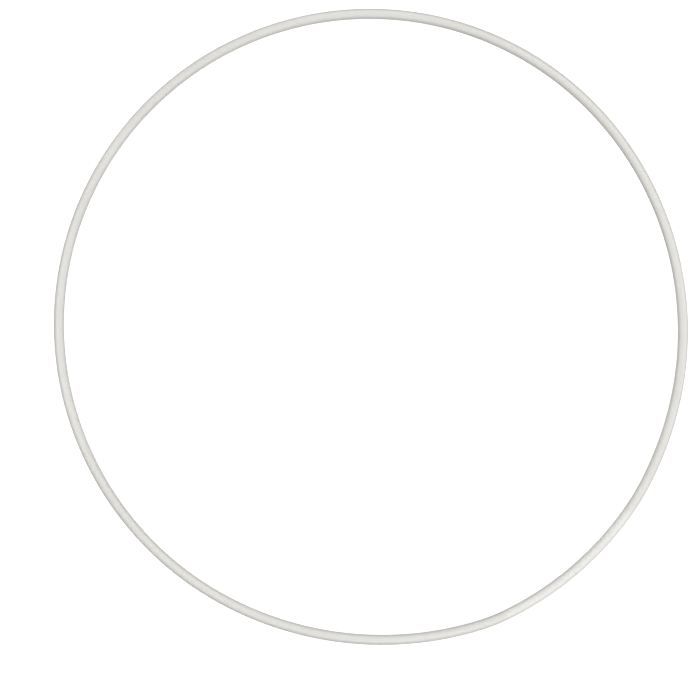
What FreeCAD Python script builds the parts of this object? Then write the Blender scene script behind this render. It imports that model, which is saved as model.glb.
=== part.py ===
import FreeCAD, Part
import math
import os

from FreeCAD import Vector

# Rhythmic gymnastics hoop, lying flat: the ring's centreline is in the XY plane (z = 0), +Z is up.
# The origin is the middle of the ring's overall width and length, at mid-height of the tube.
# Lengths are in millimetres, angles in degrees. A direction is the way the ring faces outward
# at a point, counted anticlockwise from +X, seen from +Z.

# ---- driving dimensions ----
TUBE_OD = 14.5
TUBE_WALL = 2.5
SEAM_GAP = 0.06           # hairline gap between the tube's two cut ends
SEAM_CHAMFER = 0.15       # deburred outer edge of each cut end
SEAM_DIRECTION = 310.256

PLUG_OD = 9.4             # solid rod inside both tube ends
PLUG_HALF_ANGLE = 14.2    # reach of the rod either side of the seam, just short of the bends
PLUG_LEAD_IN = 1.0        # chamfer on the rod's ends

STAPLE_CROWN = 10.0       # length of the crown, along the tube
STAPLE_LEG = 5.2          # leg length from the crown's underside
WIRE_THICKNESS = 0.6
WIRE_WIDTH = 1.2          # along Z
STAPLE_CORNER_R = 0.45    # outside radius where crown turns into leg
STAPLE_POINT = 0.5        # length of the chisel point
STAPLE_FROM_SEAM = 25.0   # from the seam to a staple's middle, along the centreline
STAPLE_SINK = 0.5         # depth of the groove the crown has pressed into the wall
STAPLE_STANDOFF = 0.02    # air between the crown and the floor of its groove
HOLE_CLEARANCE = 0.03     # per side, in the groove and the leg holes
HOLE_END_CLEARANCE = 0.1  # past the leg tips
GROOVE_CUT_START = -1.5   # where the cutters start, outward from the crown's underside;
HOLE_CUT_START = -1.0     # both values lie in the open air inside the ring

# The centreline is a closed chain of tangent arcs, anticlockwise from the seam.
# The ring is a little out of round: truly curved where the rod fills it, sharply bent at the
# rod's two ends, and flatter for a stretch beyond each bend.
# Columns: turn, radius. The two radii written as None follow from the loop closing on itself.
CHAIN = [
    (14.36, 451.9),   # half of the rod-filled stretch
    (7.92, 348.8),    # bend at the rod's end
    (11.17, 484.2),   # flatter stretch
    (49.38, 455.1),
    (26.75, 442.2),
    (67.50, None),
    (27.94, None),
    (39.26, 437.3),
    (28.12, 447.6),
    (17.96, 439.8),
    (46.21, 471.9),   # flatter stretch
    (9.07, 267.2),    # sharper bend at the rod's other end
    (14.36, 451.9),   # other half of the rod-filled stretch
]

Z_AXIS = Vector(0, 0, 1)
TUBE_R = TUBE_OD / 2.0
BORE_R = TUBE_R - TUBE_WALL
PLUG_R = PLUG_OD / 2.0
FIRST = 0                 # the arcs that start and end at the seam
LAST = len(CHAIN) - 1


# ---- centreline ----
def outward_at(direction):
    angle = math.radians(direction)
    return Vector(math.cos(angle), math.sin(angle), 0.0)


def tangent_at(direction):
    return outward_at(direction + 90.0)


def chain_directions():
    """Direction at each joint between arcs, with the seam both first and last."""
    joints = [SEAM_DIRECTION]
    for turn, _ in CHAIN:
        joints.append(joints[-1] + turn)
    return joints


def closed_radii():
    """Radii of all the arcs, with the two free ones solved so that the loop closes."""
    # An arc moves the centreline by its radius times the change in the outward unit vector.
    spans = [outward_at(directions[i + 1]) - outward_at(directions[i]) for i in range(len(CHAIN))]
    solved = [radius for _, radius in CHAIN]
    known = Vector(0, 0, 0)
    for span, radius in zip(spans, solved):
        if radius is not None:
            known += span * radius
    free_a, free_b = [i for i, radius in enumerate(solved) if radius is None]
    span_a, span_b = spans[free_a], spans[free_b]
    determinant = span_a.x * span_b.y - span_b.x * span_a.y
    solved[free_a] = (-known.x * span_b.y + known.y * span_b.x) / determinant
    solved[free_b] = (-known.y * span_a.x + known.x * span_a.y) / determinant
    return solved


def centres_from(start):
    """Arc centres when the seam's centreline point is at start."""
    found, joint = [], start
    for i, radius in enumerate(radii):
        centre = joint - outward_at(directions[i]) * radius
        found.append(centre)
        joint = centre + outward_at(directions[i + 1]) * radius
    return found


def point_facing(arc_centres, direction):
    """Centreline point where the ring faces this direction."""
    while direction < directions[0]:
        direction += 360.0
    arc = next(i for i in range(len(radii)) if direction <= directions[i + 1])
    return arc_centres[arc] + outward_at(direction) * radii[arc]


def centred_centres():
    """Arc centres with the middle of the ring's width and length at the origin."""
    trial = centres_from(Vector(0, 0, 0))
    mid_x = (point_facing(trial, 0.0).x + point_facing(trial, 180.0).x) / 2.0
    mid_y = (point_facing(trial, 90.0).y + point_facing(trial, 270.0).y) / 2.0
    return centres_from(Vector(-mid_x, -mid_y, 0.0))


directions = chain_directions()
radii = closed_radii()
centres = centred_centres()


# ---- round bars and tubes along the centreline ----
def disc(arc, direction, radius):
    """Flat disc square to the centreline."""
    centre = centres[arc] + outward_at(direction) * radii[arc]
    circle = Part.Circle(centre, tangent_at(direction), radius)
    return Part.Face(Part.Wire(Part.Edge(circle)))


def bent(arc, start, end, radius, bore=None):
    """Round bar, or tube if a bore radius is given, along one arc between two directions."""
    section = disc(arc, start, radius)
    if bore is not None:
        section = section.cut(disc(arc, start, bore)).Faces[0]
    return section.revolve(centres[arc], Z_AXIS, end - start)


def rims_beside_seam(shape, radius, angle):
    """The two circular edges of this radius, one at this angle either side of the seam."""
    rim_centres = [
        centres[FIRST] + outward_at(directions[0] + angle) * radii[FIRST],
        centres[LAST] + outward_at(directions[-1] - angle) * radii[LAST],
    ]
    rims = []
    for edge in shape.Edges:
        curve = edge.Curve
        if isinstance(curve, Part.Circle) and abs(curve.Radius - radius) < 1e-6:
            if any((curve.Center - centre).Length < 1e-4 for centre in rim_centres):
                rims.append(edge)
    assert len(rims) == 2, len(rims)
    return rims


# ---- hoop_tube: one length of tube bent into the ring, its cut ends facing at the seam ----
def make_tube():
    half_gap = math.degrees((SEAM_GAP / 2.0) / radii[FIRST])
    pieces = []
    for i in range(len(radii)):
        start = directions[i] + (half_gap if i == FIRST else 0.0)
        end = directions[i + 1] - (half_gap if i == LAST else 0.0)
        pieces.append(bent(i, start, end, TUBE_R, BORE_R))
    body = pieces[0].fuse(pieces[1:]).Solids[0]
    return body.makeChamfer(SEAM_CHAMFER, rims_beside_seam(body, TUBE_R, half_gap))


# ---- joint_plug: solid rod inside both tube ends, curved to the same arc ----
def make_plug():
    after_seam = bent(FIRST, directions[0], directions[0] + PLUG_HALF_ANGLE, PLUG_R)
    before_seam = bent(LAST, directions[-1] - PLUG_HALF_ANGLE, directions[-1], PLUG_R)
    body = after_seam.fuse(before_seam).removeSplitter().Solids[0]
    return body.makeChamfer(PLUG_LEAD_IN, rims_beside_seam(body, PLUG_R, PLUG_HALF_ANGLE))


# ---- staples: one through each tube end into the rod, driven from the inside of the ring ----
def staple_frame(arc, direction):
    """Middle of the crown's underside, with the along and outward directions there."""
    outward = outward_at(direction)
    inside_wall = radii[arc] - TUBE_R
    origin = centres[arc] + outward * (inside_wall + STAPLE_SINK - STAPLE_STANDOFF)
    return origin, tangent_at(direction), outward


def prism(frame, outline, width):
    """Extrude an outline of (along, outward) points, centred on the z = 0 plane."""
    origin, along, outward = frame
    points = [origin + along * s + outward * u - Z_AXIS * (width / 2.0) for s, u in outline]
    return Part.Face(Part.makePolygon(points + [points[0]])).extrude(Z_AXIS * width)


def make_staple(frame):
    origin, along, outward = frame
    half = STAPLE_CROWN / 2.0
    leg_inside = half - WIRE_THICKNESS
    point_start = STAPLE_LEG - STAPLE_POINT
    outline = [
        (-half, -WIRE_THICKNESS),
        (half, -WIRE_THICKNESS),
        (half, point_start),
        (leg_inside, STAPLE_LEG),
        (leg_inside, 0.0),
        (-leg_inside, 0.0),
        (-leg_inside, STAPLE_LEG),
        (-half, point_start),
    ]
    body = prism(frame, outline, WIRE_WIDTH)

    # Round the two full-width edges where the crown's back meets the legs' outer faces.
    corners = []
    for edge in body.Edges:
        first, second = [vertex.Point for vertex in edge.Vertexes]
        offset = first - origin
        full_width = abs(abs((second - first).dot(Z_AXIS)) - WIRE_WIDTH) < 1e-6
        at_leg = abs(abs(offset.dot(along)) - half) < 1e-6
        at_back = abs(offset.dot(outward) + WIRE_THICKNESS) < 1e-6
        if full_width and at_leg and at_back:
            corners.append(edge)
    assert len(corners) == 2, len(corners)
    return body.makeFillet(STAPLE_CORNER_R, corners)


def staple_cutters(frame):
    """The crown's groove, then the two leg holes."""
    half = STAPLE_CROWN / 2.0
    outer = half + HOLE_CLEARANCE
    inner = half - WIRE_THICKNESS - HOLE_CLEARANCE
    hole_end = STAPLE_LEG + HOLE_END_CLEARANCE
    # Columns: start and end along the tube, start and end outward.
    boxes = [
        (-outer, outer, GROOVE_CUT_START, STAPLE_STANDOFF),
        (-inner, -outer, HOLE_CUT_START, hole_end),
        (inner, outer, HOLE_CUT_START, hole_end),
    ]
    width = WIRE_WIDTH + 2 * HOLE_CLEARANCE
    return [
        prism(frame, [(s0, u0), (s1, u0), (s1, u1), (s0, u1)], width)
        for s0, s1, u0, u1 in boxes
    ]


# ---- assembly ----
tube = make_tube()
plug = make_plug()
staple_angle = math.degrees(STAPLE_FROM_SEAM / radii[FIRST])
left_frame = staple_frame(LAST, directions[-1] - staple_angle)
right_frame = staple_frame(FIRST, directions[0] + staple_angle)
for cutter in staple_cutters(left_frame) + staple_cutters(right_frame):
    tube = tube.cut(cutter)
    plug = plug.cut(cutter)

# ---- export ----
NODES = {
    "hoop_tube": tube,
    "joint_plug": plug,
    "staple_left": make_staple(left_frame),
    "staple_right": make_staple(right_frame),
}
os.makedirs("parts", exist_ok=True)
for name, shape in NODES.items():
    solid = shape.Solids[0]
    assert solid.isValid(), name
    solid.exportStep("parts/%s.step" % name)
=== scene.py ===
# A hoop of white plastic tube lying flat in XY, its middle over the origin, +Z up and -Y the front.
# The tube's ends meet at a seam at the front right. A rod inside bridges the seam, and two staples
# driven in from the ring's inner side hold it, one on each tube end.
# Lengths are in mm up to the materials, which work in metres.
import math

import bmesh
import bpy
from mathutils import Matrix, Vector


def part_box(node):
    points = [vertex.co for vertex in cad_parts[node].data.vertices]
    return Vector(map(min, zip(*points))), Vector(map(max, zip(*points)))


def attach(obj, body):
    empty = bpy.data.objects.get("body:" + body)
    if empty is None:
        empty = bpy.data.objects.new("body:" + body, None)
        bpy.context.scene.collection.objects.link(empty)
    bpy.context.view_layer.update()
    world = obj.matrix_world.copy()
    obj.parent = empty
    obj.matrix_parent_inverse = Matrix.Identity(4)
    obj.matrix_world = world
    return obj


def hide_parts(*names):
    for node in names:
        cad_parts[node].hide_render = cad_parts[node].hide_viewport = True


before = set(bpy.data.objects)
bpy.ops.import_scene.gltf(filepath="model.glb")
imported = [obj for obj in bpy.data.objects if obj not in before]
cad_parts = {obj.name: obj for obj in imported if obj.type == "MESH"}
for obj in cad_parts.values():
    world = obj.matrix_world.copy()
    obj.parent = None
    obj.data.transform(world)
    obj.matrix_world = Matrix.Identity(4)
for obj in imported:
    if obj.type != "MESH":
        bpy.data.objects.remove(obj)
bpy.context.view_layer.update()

MM = 0.001
scene = bpy.context.scene

TUBE_R, BORE_R = 7.25, 4.75
WALL_MIDDLE_R = (TUBE_R + BORE_R) / 2

SEAM_DIRECTION = 310.256  # degrees anticlockwise from +X
SEAM_GAP = 0.06
SEAM_ROUND = 0.15  # rounding of the cut ends' outer edges

PLUG_R = 4.7
PLUG_HALF_ANGLE = 14.2  # degrees of the ring either side of the seam
PLUG_LEAD_IN = 1.0

STAPLE_CROWN, STAPLE_LEG = 10.0, 5.2  # length over the crown, and of a leg below it
STAPLE_T, STAPLE_W = 0.6, 1.2
STAPLE_POINT = 0.5
STAPLE_BEND_R = 0.34
STAPLE_EDGE_R = 0.13
STAPLE_FROM_SEAM = 25.0
STAPLE_SINK = 0.5  # depth of the groove the crown lies in
STAPLE_STANDOFF = 0.02  # from the groove's floor to the crown
LEG_CLEARANCE = 0.03  # round each leg
LEG_END_CLEARANCE = 0.1  # beyond each leg's nominal length

LEG_MIDDLE = STAPLE_CROWN / 2 - STAPLE_T / 2
HOLE_HALF_L = STAPLE_T / 2 + LEG_CLEARANCE
HOLE_HALF_W = STAPLE_W / 2 + LEG_CLEARANCE

# ---------------------------------------------------------------------------
# The ring's centreline: a closed chain of tangent arcs, anticlockwise from the seam
# ---------------------------------------------------------------------------
# (turn in degrees, radius); the two radii left open follow from the loop closing
CHAIN = [
    (14.36, 451.9), (7.92, 348.8), (11.17, 484.2), (49.38, 455.1), (26.75, 442.2),
    (67.50, None), (27.94, None), (39.26, 437.3), (28.12, 447.6), (17.96, 439.8),
    (46.21, 471.9), (9.07, 267.2), (14.36, 451.9),
]


def unit(degrees):
    """Level unit vector, degrees anticlockwise from +X."""
    angle = math.radians(degrees)
    return Vector((math.cos(angle), math.sin(angle), 0.0))


directions = [SEAM_DIRECTION]
for turn, _ in CHAIN:
    directions.append(directions[-1] + turn)


def closed_radii():
    """The chain's radii, with the open two solved so that the arcs' chords add up to nothing."""
    chords = [unit(directions[i + 1]) - unit(directions[i]) for i in range(len(CHAIN))]
    solved = [radius for _, radius in CHAIN]
    known = Vector((0, 0, 0))
    for chord, radius in zip(chords, solved):
        if radius is not None:
            known += chord * radius
    open_a, open_b = [i for i, radius in enumerate(solved) if radius is None]
    chord_a, chord_b = chords[open_a], chords[open_b]
    determinant = chord_a.x * chord_b.y - chord_a.y * chord_b.x
    solved[open_a] = (-known.x * chord_b.y + known.y * chord_b.x) / determinant
    solved[open_b] = (-known.y * chord_a.x + known.x * chord_a.y) / determinant
    return solved


radii = closed_radii()


def arc_centres(start):
    """Centres of the chain's arcs when the seam is at start."""
    found, joint = [], start
    for i, radius in enumerate(radii):
        centre = joint - unit(directions[i]) * radius
        found.append(centre)
        joint = centre + unit(directions[i + 1]) * radius
    return found


def point_facing(middles, direction):
    """The centreline's point whose outward direction is this one."""
    if direction < directions[0]:
        direction += 360.0
    i = next(i for i in range(len(radii)) if direction <= directions[i + 1])
    return middles[i] + unit(direction) * radii[i]


# centre the ring's extents on the origin
trial = arc_centres(Vector((0, 0, 0)))
centres = arc_centres(Vector((
    -(point_facing(trial, 0.0).x + point_facing(trial, 180.0).x) / 2.0,
    -(point_facing(trial, 90.0).y + point_facing(trial, 270.0).y) / 2.0,
    0.0,
)))
arc_lengths = [math.radians(turn) * radius for (turn, _), radius in zip(CHAIN, radii)]
starts = [sum(arc_lengths[:i]) for i in range(len(arc_lengths) + 1)]
LENGTH = starts[-1]
END_ARC_R = radii[0]  # both arcs beside the seam have this radius
PLUG_HALF = END_ARC_R * math.radians(PLUG_HALF_ANGLE)

# the looks only sit on the frame if these arcs are the CAD tube's
_, tube_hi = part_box("hoop_tube")
for axis, direction in ((0, 0.0), (1, 90.0)):
    reach = point_facing(centres, direction)[axis] + TUBE_R
    assert abs(reach * MM - tube_hi[axis]) < 0.0005, (axis, reach, tube_hi[axis])


def arc_at(s):
    """Index of the arc at arc length s."""
    return max(k for k in range(len(radii)) if starts[k] <= s + 1e-9)


def along(s):
    """(centreline point, outward unit vector, its direction) at arc length s from the seam.

    A negative s runs clockwise from the seam.
    """
    s %= LENGTH
    i = arc_at(s)
    direction = directions[i] + math.degrees((s - starts[i]) / radii[i])
    outward = unit(direction)
    return centres[i] + outward * radii[i], outward, direction


# ---------------------------------------------------------------------------
# What the pieces share
# ---------------------------------------------------------------------------
class Shell:
    """A closed mesh being built, each vertex with its place on the straightened hoop."""

    def __init__(self):
        self.verts, self.straight, self.faces = [], [], []

    def add(self, position, straight):
        """Add a vertex; straight is (along, across, up), which the materials read."""
        self.verts.append(position * MM)
        self.straight.append([value * MM for value in straight])
        return len(self.verts) - 1

    def add_round(self, s, theta, radius):
        """Add a vertex at arc length s, theta degrees up from the outward direction."""
        centre, outward, _ = along(s)
        angle = math.radians(theta)
        across, up = radius * math.cos(angle), radius * math.sin(angle)
        return self.add(centre + outward * across + Vector((0, 0, up)), (s, across, up))

    def finish(self, name, sharp):
        """Make the object, without unused vertices; edges bent over sharp degrees stay crisp."""
        used = sorted({v for face in self.faces for v in face})
        new_index = {v: i for i, v in enumerate(used)}
        faces = [tuple(new_index[v] for v in face) for face in self.faces]
        mesh = bpy.data.meshes.new(name)
        mesh.from_pydata([self.verts[v] for v in used], [], faces)
        editor = bmesh.new()
        editor.from_mesh(mesh)
        bmesh.ops.recalc_face_normals(editor, faces=editor.faces)
        if editor.calc_volume(signed=True) < 0:
            bmesh.ops.reverse_faces(editor, faces=editor.faces)
        assert all(len(edge.link_faces) == 2 for edge in editor.edges), name
        editor.to_mesh(mesh)
        editor.free()
        mesh.polygons.foreach_set("use_smooth", [True] * len(mesh.polygons))
        mesh.set_sharp_from_angle(angle=math.radians(sharp))
        attribute = mesh.attributes.new("straight", "FLOAT_VECTOR", "POINT")
        attribute.data.foreach_set("vector", [x for v in used for x in self.straight[v]])
        mesh.update()
        obj = bpy.data.objects.new(name, mesh)
        scene.collection.objects.link(obj)
        return obj


def columns(count, radius):
    """Angles round a section; those beside the innermost one are moved to the holes' edges."""
    angles = [360.0 * k / count for k in range(count)]
    lean = math.degrees(math.asin(HOLE_HALF_W / radius))
    angles[count // 2 - 1], angles[count // 2 + 1] = 180.0 - lean, 180.0 + lean
    return angles


def subdivide(marks, longest):
    """The marks, with even stops between them no further apart than longest."""
    stops = [marks[0]]
    for begin, end in zip(marks, marks[1:]):
        count = max(1, math.ceil((end - begin) / longest))
        stops += [begin + (end - begin) * (k + 1) / count for k in range(count)]
    return stops


def leg_holes(staple_s):
    """Arc lengths (begin, end) of the two leg holes of the staple at staple_s."""
    return [
        tuple(
            staple_s + END_ARC_R * math.asin(edge / (END_ARC_R - WALL_MIDDLE_R))
            for edge in (middle - HOLE_HALF_L, middle + HOLE_HALF_L)
        )
        for middle in (-LEG_MIDDLE, LEG_MIDDLE)
    ]


STAPLE_S = {"staple_left": LENGTH - STAPLE_FROM_SEAM, "staple_right": STAPLE_FROM_SEAM}

# ---------------------------------------------------------------------------
# hoop_tube: hollow tube, its two cut ends facing each other across the seam
# ---------------------------------------------------------------------------
TUBE_COLUMNS = 64
TUBE_STEP = 6.0  # longest distance between rings
ROUND_STEPS = 4


def tube_rings():
    """(arc length, outer radius) from the rounded edge of one cut end to that of the other."""
    begin, end = SEAM_GAP / 2, LENGTH - SEAM_GAP / 2
    lead = []
    for k in range(ROUND_STEPS):
        angle = math.radians(90.0 * k / ROUND_STEPS)
        lead.append((begin + SEAM_ROUND * (1 - math.cos(angle)),
                     TUBE_R - SEAM_ROUND * (1 - math.sin(angle))))
    holes = [edge for s in STAPLE_S.values() for hole in leg_holes(s) for edge in hole]
    marks = sorted({begin + SEAM_ROUND, end - SEAM_ROUND, *starts[1:-1], *holes})
    body = [(s, TUBE_R) for s in subdivide(marks, TUBE_STEP)]
    return lead + body + [(LENGTH - s, radius) for s, radius in reversed(lead)]


def add_grooves(shell, rings):
    """Add the flat floors of the grooves under the crowns, between each staple's leg holes.

    Returns the floor's (upper, middle, lower) vertices by ring, and whether the strip that
    starts at a ring is a "hole" or a "floor".
    """
    floors, strips = {}, {}
    for staple_s in STAPLE_S.values():
        edges = [edge for hole in leg_holes(staple_s) for edge in hole]
        begin, floor_begin, floor_end, end = (
            min(range(len(rings)), key=lambda j: abs(rings[j][0] - edge)) for edge in edges
        )
        _, _, direction = along(staple_s)
        centre = centres[arc_at(staple_s)]
        floor_distance = END_ARC_R - TUBE_R + STAPLE_SINK
        for j in range(floor_begin, floor_end + 1):
            s = rings[j][0]
            turn = (s - staple_s) / END_ARC_R
            out = unit(direction + math.degrees(turn))
            point = centre + out * (floor_distance / math.cos(turn))
            floors[j] = [
                shell.add(point + Vector((0, 0, up)), (s, -(TUBE_R - STAPLE_SINK), up))
                for up in (HOLE_HALF_W, 0.0, -HOLE_HALF_W)
            ]
        for j in range(begin, end):
            strips[j] = "hole" if j in (begin, floor_end) else "floor"
    return floors, strips


def tube_shell():
    shell = Shell()
    faces = shell.faces
    rings = tube_rings()
    outer_angles, inner_angles = columns(TUBE_COLUMNS, TUBE_R), columns(TUBE_COLUMNS, BORE_R)
    outer = [[shell.add_round(s, theta, radius) for theta in outer_angles] for s, radius in rings]
    inner = [[shell.add_round(s, theta, BORE_R) for theta in inner_angles] for s, _ in rings]
    floors, strips = add_grooves(shell, rings)
    middle = TUBE_COLUMNS // 2  # the column on the ring's inner side
    upper, lower = middle - 1, middle + 1
    for j in range(len(rings) - 1):
        strip = strips.get(j)
        for k in range(TUBE_COLUMNS):
            k2 = (k + 1) % TUBE_COLUMNS
            cut = k in (upper, middle)
            if not (strip and cut):
                faces.append((outer[j][k], outer[j][k2], outer[j + 1][k2], outer[j + 1][k]))
            if not (strip == "hole" and cut):
                faces.append((inner[j][k], inner[j + 1][k], inner[j + 1][k2], inner[j][k2]))
        if strip == "floor":
            here, ahead = floors[j], floors[j + 1]
            faces.append((here[0], here[1], ahead[1], ahead[0]))
            faces.append((here[1], here[2], ahead[2], ahead[1]))
            faces.append((outer[j][upper], here[0], ahead[0], outer[j + 1][upper]))
            faces.append((outer[j][lower], outer[j + 1][lower], ahead[2], here[2]))
        if strip == "hole":
            # end walls, from the groove's floor or the tube's surface down to the bore
            for row in (j, j + 1):
                top = floors.get(row, outer[row][upper:lower + 1])
                low = inner[row][upper:lower + 1]
                for i in (0, 1):
                    quad = (top[i], top[i + 1], low[i + 1], low[i])
                    faces.append(quad if row == j else quad[::-1])
            # side walls, each with a corner where it meets the groove's floor
            for column, side, row, row2 in ((upper, 0, j + 1, j), (lower, 2, j, j + 1)):
                wall = [outer[row][column], outer[row2][column]]
                wall += floors.get(row2, [])[side:side + 1]
                wall += [inner[row2][column], inner[row][column]]
                wall += floors.get(row, [])[side:side + 1]
                faces.append(tuple(wall))
    for k in range(TUBE_COLUMNS):  # the two cut faces
        k2 = (k + 1) % TUBE_COLUMNS
        faces.append((outer[0][k2], outer[0][k], inner[0][k], inner[0][k2]))
        faces.append((outer[-1][k], outer[-1][k2], inner[-1][k2], inner[-1][k]))
    return shell


# ---------------------------------------------------------------------------
# joint_plug: solid rod with eased ends and blind holes for the staples' legs
# ---------------------------------------------------------------------------
PLUG_COLUMNS = 48
PLUG_STEP = 3.6
# (distance in from the end, radius), from the end's middle to the end of the lead-in
PLUG_END = [
    (0.0, 0.0), (0.0, 1.4), (0.0, 2.6), (0.0, PLUG_R - 1.06),
    (0.03, PLUG_R - 1.0), (0.10, PLUG_R - 0.91),
    (PLUG_LEAD_IN - 0.08, PLUG_R - 0.09), (PLUG_LEAD_IN - 0.02, PLUG_R - 0.02),
]
# distance of the holes' bottoms from the centreline
HOLE_BOTTOM = TUBE_R - STAPLE_SINK - STAPLE_LEG - LEG_END_CLEARANCE + STAPLE_STANDOFF


def plug_shell():
    shell = Shell()
    faces = shell.faces
    holes = leg_holes(-STAPLE_FROM_SEAM) + leg_holes(STAPLE_FROM_SEAM)
    marks = sorted([-PLUG_HALF + PLUG_LEAD_IN, PLUG_HALF - PLUG_LEAD_IN, 0.0]
                   + [edge for hole in holes for edge in hole])
    profile = [(-PLUG_HALF + inset, radius) for inset, radius in PLUG_END]
    profile += [(s, PLUG_R) for s in subdivide(marks, PLUG_STEP)]
    profile += [(PLUG_HALF - inset, radius) for inset, radius in reversed(PLUG_END)]
    angles = columns(PLUG_COLUMNS, PLUG_R)
    rows = []
    for s, radius in profile:
        if radius == 0.0:
            rows.append([shell.add_round(s, 0.0, 0.0)] * PLUG_COLUMNS)
        else:
            rows.append([shell.add_round(s, theta, radius) for theta in angles])
    middle = PLUG_COLUMNS // 2
    for j in range(len(profile) - 1):
        begin, end = profile[j][0], profile[j + 1][0]
        is_hole = any(abs(begin - lo) < 1e-6 and abs(end - hi) < 1e-6 for lo, hi in holes)
        for k in range(PLUG_COLUMNS):
            k2 = (k + 1) % PLUG_COLUMNS
            if is_hole and k in (middle - 1, middle):
                continue
            quad = (rows[j][k], rows[j][k2], rows[j + 1][k2], rows[j + 1][k])
            faces.append(tuple(dict.fromkeys(quad)))  # a triangle at the end's middle
        if is_hole:
            top = rows[j][middle - 1:middle + 2] + rows[j + 1][middle - 1:middle + 2][::-1]
            low = []
            for s, side in ((begin, 1), (begin, 0), (begin, -1), (end, -1), (end, 0), (end, 1)):
                up = side * HOLE_HALF_W
                theta = 180.0 - math.degrees(math.atan2(up, HOLE_BOTTOM))
                low.append(shell.add_round(s, theta, math.hypot(HOLE_BOTTOM, up)))
            for k in range(6):
                k2 = (k + 1) % 6
                faces.append((top[k], top[k2], low[k2], low[k]))
            faces.append((low[0], low[1], low[4], low[5]))
            faces.append((low[1], low[2], low[3], low[4]))
    return shell


# ---------------------------------------------------------------------------
# staples: flat wire with rounded edges, bent at two corners, chisel points
# ---------------------------------------------------------------------------
# stops along a leg, from its point to the bend, as distances from the crown's underside
LEG_STOPS = (STAPLE_LEG - 0.02, STAPLE_LEG - STAPLE_POINT, 3.6, 2.4, 1.2, 0.35)
BEND_STEPS, CROWN_STEPS = 6, 8
POINT_INSET, POINT_THIN, POINT_NARROW = 0.07, 0.16, 0.92  # offset and scales of the tip's section


def staple_path():
    """The wire's middle line as (x along the crown, y outward, down the legs)."""
    crown_y = -STAPLE_T / 2
    bend_x = -LEG_MIDDLE + STAPLE_BEND_R

    def bend(centre_x, first_angle):
        angles = [math.radians(first_angle + 90.0 * k / BEND_STEPS) for k in range(BEND_STEPS + 1)]
        return [(centre_x + STAPLE_BEND_R * math.cos(angle),
                 crown_y + STAPLE_BEND_R + STAPLE_BEND_R * math.sin(angle)) for angle in angles]

    path = [(-LEG_MIDDLE, y) for y in LEG_STOPS]
    path += bend(bend_x, 180.0)
    path += [(bend_x - 2 * bend_x * k / CROWN_STEPS, crown_y) for k in range(1, CROWN_STEPS)]
    path += bend(-bend_x, 270.0)
    return path + [(LEG_MIDDLE, y) for y in reversed(LEG_STOPS)]


def staple_section():
    """Rounded rectangle as (through the thickness, up)."""
    points = []
    for side, top, first_angle in ((1, 1, 0), (-1, 1, 90), (-1, -1, 180), (1, -1, 270)):
        for k in range(4):
            angle = math.radians(first_angle + 30.0 * k)
            points.append((side * (STAPLE_T / 2 - STAPLE_EDGE_R) + STAPLE_EDGE_R * math.cos(angle),
                           top * (STAPLE_W / 2 - STAPLE_EDGE_R) + STAPLE_EDGE_R * math.sin(angle)))
    return points


def staple_shell(staple_s):
    shell = Shell()
    centre, outward, direction = along(staple_s)
    crosswise = unit(direction + 90.0)
    origin = centre - outward * (TUBE_R - STAPLE_SINK + STAPLE_STANDOFF)
    path, section = staple_path(), staple_section()
    rows, run = [], 0.0
    for i, (x, y) in enumerate(path):
        x0, y0 = path[max(0, i - 1)]
        x1, y1 = path[min(len(path) - 1, i + 1)]
        step = math.hypot(x1 - x0, y1 - y0)
        # across the wire, pointing to the outside of the bend
        normal_x, normal_y = (y1 - y0) / step, -(x1 - x0) / step
        if i:
            run += math.hypot(x - x0, y - y0)
        row = []
        for thick, up in section:
            side, rise = thick, up
            if i in (0, len(path) - 1):  # the chisel point narrows to the wire's outer side
                side = STAPLE_T / 2 - POINT_INSET + thick * POINT_THIN
                rise = up * POINT_NARROW
            position = (origin + crosswise * (x + normal_x * side)
                        + outward * (y + normal_y * side) + Vector((0, 0, rise)))
            row.append(shell.add(position, (run, thick, up)))
        rows.append(row)
    count = len(section)
    for row, ahead in zip(rows, rows[1:]):
        for k in range(count):
            k2 = (k + 1) % count
            shell.faces.append((row[k], ahead[k], ahead[k2], row[k2]))
    for row, order in ((rows[0], 1), (rows[-1], -1)):  # end caps, quads across the section
        for k in range(count // 2 - 1):
            quad = (row[k], row[k + 1], row[count - 2 - k], row[count - 1 - k])
            shell.faces.append(quad[::order])
    return shell


tube = tube_shell().finish("tube_shell", sharp=40.0)
plug = plug_shell().finish("plug_rod", sharp=30.0)
staples = {name: staple_shell(s).finish(name + "_wire", sharp=32.0) for name, s in STAPLE_S.items()}


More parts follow.
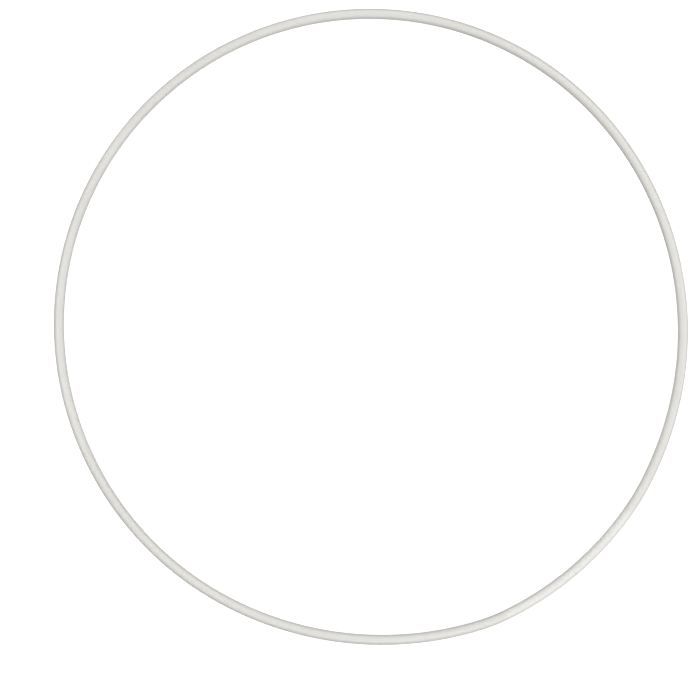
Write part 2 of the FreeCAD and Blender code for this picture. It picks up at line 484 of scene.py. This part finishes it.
# ---------------------------------------------------------------------------
# Materials, all procedural, in metres
# ---------------------------------------------------------------------------
class Nodes:
    """Builds the node tree of a material or world."""

    def __init__(self, owner):
        owner.use_nodes = True
        self.tree = owner.node_tree
        self.tree.nodes.clear()

    def new(self, kind, inputs=None, **settings):
        """Add a node; an input is a value, or a socket to link."""
        node = self.tree.nodes.new("ShaderNode" + kind)
        for key, value in settings.items():
            setattr(node, key, value)
        for key, value in (inputs or {}).items():
            if isinstance(value, bpy.types.NodeSocket):
                self.tree.links.new(value, node.inputs[key])
            else:
                node.inputs[key].default_value = value
        return node

    def math(self, operation, first, second=0.0, *third, clamp=False):
        inputs = dict(enumerate((first, second, *third)))
        return self.new("Math", inputs, operation=operation, use_clamp=clamp).outputs[0]

    def times(self, first, second):
        return self.math("MULTIPLY", first, second)

    def line(self, value, by, add, clamp=False):
        """value * by + add."""
        return self.math("MULTIPLY_ADD", value, by, add, clamp=clamp)

    def most(self, so_far, value):
        return value if so_far is None else self.math("MAXIMUM", so_far, value)

    def ramp(self, value, begin, end, low=0.0, high=1.0):
        """Smoothly low to high as the value goes from begin to end."""
        return self.new("MapRange", {
            "Value": value, "From Min": begin, "From Max": end, "To Min": low, "To Max": high,
        }, interpolation_type="SMOOTHSTEP", clamp=True).outputs[0]

    def vector(self, x, y, z):
        return self.new("CombineXYZ", {0: x, 1: y, 2: z}).outputs[0]

    def noise(self, place, detail, rough, seed):
        return self.new("TexNoise", {
            "Vector": place, "W": seed, "Scale": 1.0, "Detail": detail, "Roughness": rough,
        }, noise_dimensions="4D").outputs["Fac"]

    def mix(self, share, first, second):
        """Mix colours; a plain colour is an (r, g, b) tuple."""
        first, second = ((*c, 1.0) if isinstance(c, tuple) else c for c in (first, second))
        return self.new("Mix", {0: share, 6: first, 7: second}, data_type="RGBA").outputs[2]

    def tint(self, base, where, amount, colour):
        return self.mix(self.times(where, amount), base, colour)

    def output(self, shader, kind="OutputMaterial"):
        self.new(kind, {"Surface": shader.outputs[0]})


class PieceNodes(Nodes):
    """Nodes of a hoop piece's material, patterned by its straightened coordinates."""

    def __init__(self, name):
        self.material = bpy.data.materials.new(name)
        super().__init__(self.material)
        self.straight = self.new("Attribute", attribute_name="straight").outputs["Vector"]

    def pattern(self, along, around, detail, rough, seed):
        """Noise with these frequencies per metre along the piece and across it."""
        scale = {0: self.straight, 1: (along, around, around)}
        place = self.new("VectorMath", scale, operation="MULTIPLY").outputs[0]
        return self.noise(place, detail=detail, rough=rough, seed=seed)

    def finish(self, base, rough, height, strength, **extra):
        """Bumped surface; extra inputs are named with _ for a space."""
        bump = self.new("Bump", {"Strength": strength, "Distance": 1.0, "Height": height})
        inputs = {"Base Color": base, "Roughness": rough, "Normal": bump.outputs[0]}
        inputs.update({key.replace("_", " "): value for key, value in extra.items()})
        self.output(self.new("BsdfPrincipled", inputs))
        return self.material


def scratches(n, s, across, up):
    """Short thin scratches in three directions."""
    around = n.times(n.math("ARCTAN2", up, across), TUBE_R * MM)
    scratch = None
    # (lean in degrees, noise level above which a scratch shows)
    for k, (lean, level) in enumerate(((14.0, 0.715), (-31.0, 0.725), (78.0, 0.72))):
        cosine, sine = math.cos(math.radians(lean)), math.sin(math.radians(lean))
        run = n.line(s, by=cosine, add=n.times(around, sine))
        cross = n.line(s, by=-sine, add=n.times(around, cosine))
        # frequencies per metre along and across a scratch
        place = n.vector(x=n.times(run, 150.0), y=n.times(cross, 5200.0), z=0.0)
        streak = n.noise(place, detail=1.0, rough=0.5, seed=31.0 + k)
        scratch = n.most(scratch, n.ramp(streak, begin=level, end=level + 0.03))
    return scratch


def staple_strain(n, s, up, mottle):
    """1 close round the staples' crowns, with a mottled edge."""

    def beyond(offset, limit):
        return n.math("MAXIMUM", n.math("SUBTRACT", n.math("ABSOLUTE", offset), limit), 0.0)

    strain = None
    for staple_s in STAPLE_S.values():
        past_end = beyond(n.math("SUBTRACT", s, staple_s * MM), limit=STAPLE_CROWN / 2 * MM)
        beside = beyond(up, limit=STAPLE_W / 2 * MM)
        squares = n.math("ADD", n.times(past_end, past_end), n.times(beside, beside))
        distance = n.line(mottle, by=0.0008, add=n.math("SQRT", squares))
        strain = n.most(strain, n.ramp(distance, begin=0.0013, end=0.0004))
    return strain


def tube_plastic():
    n = PieceNodes("tube_white_plastic")
    s, across, up = n.new("SeparateXYZ", {0: n.straight}).outputs
    # draw lines left by the die: fine across the tube, very long along it
    lines_fine = n.pattern(along=1.4, around=2600.0, detail=2.0, rough=0.6, seed=1.0)
    lines_wide = n.pattern(along=0.6, around=520.0, detail=2.0, rough=0.5, seed=2.0)
    # orange-peel ripple, and slow drift of thickness and colour
    peel = n.pattern(along=420.0, around=420.0, detail=2.0, rough=0.5, seed=3.0)
    drift = n.pattern(along=7.0, around=40.0, detail=3.0, rough=0.55, seed=4.0)
    mottle = n.pattern(along=60.0, around=160.0, detail=4.0, rough=0.6, seed=5.0)
    # faint scuffs, more on the outer side that rolls on the floor
    scuff_field = n.pattern(along=190.0, around=620.0, detail=5.0, rough=0.68, seed=6.0)
    patches = n.pattern(along=11.0, around=60.0, detail=2.0, rough=0.5, seed=7.0)
    outer_side = n.ramp(across, begin=0.002, end=0.0072)
    patch_share = 0.30
    scuff = n.math("ADD", scuff_field, n.times(patches, patch_share))
    scuff = n.ramp(scuff, begin=0.76, end=0.90)
    scuff = n.times(scuff, n.line(outer_side, by=0.75, add=0.25))
    # scratches show only in worn patches
    scratch = scratches(n, s, across, up)
    worn = n.pattern(along=23.0, around=90.0, detail=3.0, rough=0.6, seed=8.0)
    worn = n.ramp(worn, begin=0.44, end=0.62)
    scratch = n.times(scratch, n.times(worn, n.line(outer_side, by=0.5, add=0.5)))
    # the plastic is whitened where a staple has been driven in
    inner_side = n.ramp(across, begin=-0.0066, end=-0.0070)
    strain = n.times(staple_strain(n, s, up, mottle), inner_side)
    # painted light: the tube is painted a little lighter over the rod, standing in for light that
    # passes through the slightly translucent wall and back off the rod
    from_seam = n.math("MINIMUM", s, n.math("SUBTRACT", LENGTH * MM, s))
    painted_rod_light = n.ramp(from_seam, begin=PLUG_HALF * MM + 0.010, end=PLUG_HALF * MM - 0.006)

    base = n.mix(n.ramp(drift, begin=0.30, end=0.70), (0.737, 0.729, 0.700), (0.767, 0.758, 0.724))
    base = n.mix(n.ramp(mottle, begin=0.35, end=0.75, high=0.35), base, (0.716, 0.706, 0.672))
    # painted light: the stretch over the rod is tinted lighter
    base = n.tint(base, where=painted_rod_light, amount=0.48, colour=(0.872, 0.866, 0.846))
    lines = n.ramp(lines_wide, begin=0.42, end=0.66)
    for where, amount, colour in (
        (lines, 0.10, (0.66, 0.652, 0.63)),
        (scuff, 0.38, (0.50, 0.49, 0.46)),
        (scratch, 0.30, (0.44, 0.43, 0.41)),
        (strain, 0.75, (0.90, 0.895, 0.88)),
    ):
        base = n.tint(base, where, amount, colour)
    rough = n.line(n.ramp(mottle, begin=0.3, end=0.7), by=0.07, add=0.31)
    rough = n.line(n.ramp(lines_fine, begin=0.35, end=0.7), by=0.05, add=rough)
    rough = n.line(scuff, by=0.22, add=rough)
    rough = n.line(scratch, by=0.20, add=rough)
    rough = n.line(strain, by=0.15, add=rough, clamp=True)
    fine_depth = 0.000026
    height = n.times(lines_fine, fine_depth)
    for layer, rise in (
        (lines_wide, 0.000085), (peel, 0.000050), (scuff, -0.000025),
        (scratch, -0.000018), (strain, 0.000060),
    ):
        height = n.line(layer, by=rise, add=height)
    return n.finish(
        base, rough, height, strength=0.8, IOR=1.5, Subsurface_Weight=0.12,
        Subsurface_Radius=(1.0, 0.95, 0.8), Subsurface_Scale=0.0025,
    )


def plug_plastic():
    n = PieceNodes("plug_natural_plastic")
    lines = n.pattern(along=3.0, around=1500.0, detail=3.0, rough=0.6, seed=11.0)
    cloud = n.pattern(along=90.0, around=200.0, detail=4.0, rough=0.6, seed=12.0)
    grain = n.pattern(along=900.0, around=900.0, detail=2.0, rough=0.5, seed=13.0)
    base = n.mix(n.ramp(cloud, begin=0.3, end=0.7), (0.66, 0.65, 0.61), (0.74, 0.73, 0.69))
    drawn = n.ramp(lines, begin=0.4, end=0.7)
    base = n.tint(base, where=drawn, amount=0.18, colour=(0.56, 0.55, 0.51))
    rough = n.line(grain, by=0.18, add=0.46)
    grain_depth = 0.00001
    height = n.line(lines, by=0.00003, add=n.times(grain, grain_depth))
    return n.finish(base, rough, height, strength=0.8, IOR=1.5)


def staple_steel():
    n = PieceNodes("staple_zinc_steel")
    drawn = n.pattern(along=260.0, around=6000.0, detail=3.0, rough=0.6, seed=21.0)
    spangle = n.pattern(along=1400.0, around=1400.0, detail=3.0, rough=0.6, seed=22.0)
    base = n.mix(n.ramp(spangle, begin=0.3, end=0.7), (0.47, 0.47, 0.46), (0.66, 0.66, 0.65))
    lines = n.ramp(drawn, begin=0.45, end=0.7)
    base = n.tint(base, where=lines, amount=0.35, colour=(0.34, 0.335, 0.325))
    rough = n.line(drawn, by=0.22, add=0.24)
    drawn_depth = 0.00001
    height = n.times(drawn, drawn_depth)
    return n.finish(base, rough, height, strength=0.7, Metallic=1.0)


tube.data.materials.append(tube_plastic())
plug.data.materials.append(plug_plastic())
steel = staple_steel()
for staple in staples.values():
    staple.data.materials.append(steel)

for obj, node, slot in (
    (tube, "hoop_tube", "tube_plastic"),
    (plug, "joint_plug", "plug_plastic"),
    (staples["staple_left"], "staple_left", "staple_steel"),
    (staples["staple_right"], "staple_right", "staple_steel"),
):
    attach(obj, "root")
    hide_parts(node)

# ---------------------------------------------------------------------------
# Floor: a flat sheet under the tube, ruled in rows that follow the ring
# ---------------------------------------------------------------------------
FLOOR_Z = -TUBE_R * MM
FLOOR_SPOKES = 240
# (mm outward from the centreline, nearness to the tube, share of the wide lobe of painted light)
FLOOR_ROWS = (
    (-60.0, 0.0, 0.0), (-28.0, 0.0, 0.0), (-15.0, 1.0, 0.0), (-11.0, 1.0, 0.0), (11.0, 1.0, 0.0),
    (15.0, 1.0, 0.0), (28.0, 0.0, 0.6), (60.0, 0.0, 0.3), (15500.0, 0.0, 0.0),
)
UNEVEN_FROM = 15.0  # mm either side of the centreline
# Lobes of painted uneven light as (gain, middle direction, reach either side), in degrees: the
# paper's bounce colour is painted lighter or duller by direction, which puts painted light and
# shade on the tube.
# Inside the ring the bounce is painted lighter at the left and duller at the back right and front
# right.
INNER_PAINTED_LIGHT = ((0.3, 170.0, 66.4), (-0.75, 50.0, 66.4), (-0.45, 306.0, 25.0))
OUTER_PAINTED_LIGHT = ((0.5, 308.0, 66.4),)  # lighter at the front right
WIDE_PAINTED_LIGHT = ((1.0, 312.0, 37.0),)  # the light patch there that reaches further out


def lobes(direction, table):
    """Sum of the lobes, each its gain in the middle direction and falling to 0 at its reach."""
    total = 0.0
    for gain, middle, reach in table:
        edge = math.cos(math.radians(reach))
        toward = math.cos(math.radians(direction - middle))
        total += gain * max(0.0, (toward - edge) / (1.0 - edge))
    return total


def floor_sheet():
    verts, painted_bounce_light, faces = [(0.0, 0.0, FLOOR_Z)], [0.0], []
    for offset, nearness, wide in FLOOR_ROWS:
        for k in range(FLOOR_SPOKES):
            point, outward, direction = along(LENGTH * k / FLOOR_SPOKES)
            point = (point + outward * offset) * MM
            verts.append((point.x, point.y, FLOOR_Z))
            # painted light: the paper's bounce colour is raised or lowered by the lobes round the
            # ring
            even = 1.0
            if offset <= -UNEVEN_FROM:
                even += lobes(direction, INNER_PAINTED_LIGHT)
            elif offset >= UNEVEN_FROM:
                even += lobes(direction, OUTER_PAINTED_LIGHT)
            painted_bounce_light.append(nearness * even + wide * lobes(direction, WIDE_PAINTED_LIGHT))
    for k in range(FLOOR_SPOKES):
        k2 = (k + 1) % FLOOR_SPOKES
        faces.append((0, 1 + k, 1 + k2))
        for j in range(len(FLOOR_ROWS) - 1):
            row, ahead = 1 + j * FLOOR_SPOKES, 1 + (j + 1) * FLOOR_SPOKES
            faces.append((row + k, ahead + k, ahead + k2, row + k2))
    mesh = bpy.data.meshes.new("floor")
    mesh.from_pydata(verts, [], faces)
    mesh.attributes.new("painted_bounce_light", "FLOAT", "POINT").data.foreach_set("value", painted_bounce_light)
    mesh.update()
    sheet = bpy.data.objects.new("floor", mesh)
    scene.collection.objects.link(sheet)
    return sheet


def floor_paper():
    material = bpy.data.materials.new("floor_paper")
    n = Nodes(material)
    camera_ray = n.new("LightPath").outputs["Is Camera Ray"]
    geometry = n.new("NewGeometry").outputs
    facing = n.new("VectorMath", {0: geometry["Incoming"], 1: geometry["Normal"]},
                   operation="DOT_PRODUCT")
    down = n.math("ABSOLUTE", facing.outputs["Value"])
    # from straight above the paper is burnt out to white but for a faint contact shadow;
    # seen aslant the shadow is plainer
    lift = n.ramp(down, begin=0.60, end=0.93, low=0.17, high=1.16)
    shade = n.ramp(down, begin=0.60, end=0.93, low=0.86, high=0.20)
    diffuse = n.new("BsdfDiffuse", {"Color": n.vector(shade, shade, shade), "Roughness": 0.3})
    glow = n.new("Emission", {"Color": (1.0, 1.0, 1.0, 1.0), "Strength": lift})
    seen = n.new("AddShader", {0: diffuse.outputs[0], 1: glow.outputs[0]})
    # painted bounce light: only paper next to the tube throws light back up, more or less round the
    # ring as the painted-light lobes give, so the tube's edges are slightly darker than its crest
    # and unevenly lit;
    # it also glows, though it is no lamp, mostly at a low slant, to keep sides and underside light
    painted_bounce_share = n.new("Attribute", attribute_name="painted_bounce_light").outputs["Fac"]
    bounce = n.line(painted_bounce_share, by=0.50, add=0.02)
    dull = n.new("BsdfDiffuse", {"Color": n.vector(bounce, bounce, bounce), "Roughness": 0.3})
    upward = n.times(n.ramp(down, begin=0.45, end=0.80, low=0.50, high=0.10), painted_bounce_share)
    under = n.new("Emission", {"Color": (1.0, 0.997, 0.99, 1.0), "Strength": upward})
    dull = n.new("AddShader", {0: dull.outputs[0], 1: under.outputs[0]})
    paper = n.new("MixShader", {0: camera_ray, 1: dull.outputs[0], 2: seen.outputs[0]})
    # far from the ring the camera sees through the paper to the white background
    clear = n.new("BsdfTransparent")
    far = n.new("VectorMath", {0: geometry["Position"]}, operation="LENGTH").outputs["Value"]
    fade = n.times(n.ramp(far, begin=0.6, end=1.5), camera_ray)
    n.output(n.new("MixShader", {0: fade, 1: paper.outputs[0], 2: clear.outputs[0]}))
    return material


floor = floor_sheet()
floor.data.materials.append(floor_paper())


# ---------------------------------------------------------------------------
# World, lights and camera, in metres
# ---------------------------------------------------------------------------
def studio_world():
    """A dim warm fill for the scene, and plain white for the camera."""
    world = bpy.data.worlds.new("studio")
    scene.world = world
    n = Nodes(world)
    fill = n.new("Background", {"Color": (1.0, 0.997, 0.99, 1.0), "Strength": 0.250},
                 name="studio_fill")
    seen = n.new("Background", {"Color": (1.0, 1.0, 1.0, 1.0), "Strength": 1.06})
    camera_ray = n.new("LightPath").outputs["Is Camera Ray"]
    mixed = n.new("MixShader", {0: camera_ray, 1: fill.outputs[0], 2: seen.outputs[0]})
    n.output(mixed, kind="OutputWorld")


studio_world()

SOFTBOX_DISTANCE, SOFTBOX_SIZE = 3.2, 1.6
# (name, azimuth in degrees anticlockwise from +X, elevation in degrees, watts)
SOFTBOXES = (
    ("low_right", 0.0, 20.0, 25.2),
    ("low_back", 90.0, 20.0, 12.3),
    ("low_back_left", 135.0, 20.0, 11.4),
    ("high_back_right", 45.0, 50.0, 14.4),
    ("high_back", 90.0, 50.0, 5.9),
    ("high_left", 180.0, 50.0, 28.9),
    ("high_front", 270.0, 50.0, 19.7),
    ("high_front_right", 315.0, 50.0, 22.0),
)
for name, azimuth, elevation, power in SOFTBOXES:
    light = bpy.data.lights.new(name, "AREA")
    light.shape = "SQUARE"
    light.size = SOFTBOX_SIZE
    light.energy = power
    softbox = bpy.data.objects.new(name, light)
    rise = math.radians(elevation)
    toward = unit(azimuth) * math.cos(rise) + Vector((0, 0, math.sin(rise)))
    softbox.location = toward * SOFTBOX_DISTANCE
    softbox.rotation_euler = (-softbox.location).to_track_quat("-Z", "Y").to_euler()
    softbox.visible_camera = False
    scene.collection.objects.link(softbox)

# straight above, a little to the left and front of the ring's middle
CAMERA_PLACE = (-0.02961, -0.03275, 2.510)
VIEW_WIDTH = 0.99036  # what the camera takes in at the ring's height
SENSOR_WIDTH = 36.0  # mm
lens = bpy.data.cameras.new("camera")
camera = bpy.data.objects.new("camera", lens)
scene.collection.objects.link(camera)
scene.camera = camera
lens.sensor_width = SENSOR_WIDTH
lens.lens = SENSOR_WIDTH * CAMERA_PLACE[2] / VIEW_WIDTH
lens.clip_start, lens.clip_end = 0.05, 60.0
camera.location = CAMERA_PLACE

scene.view_settings.view_transform = "Standard"
scene.view_settings.look = "None"
scene.view_settings.exposure = 0.0
scene.view_settings.gamma = 1.0
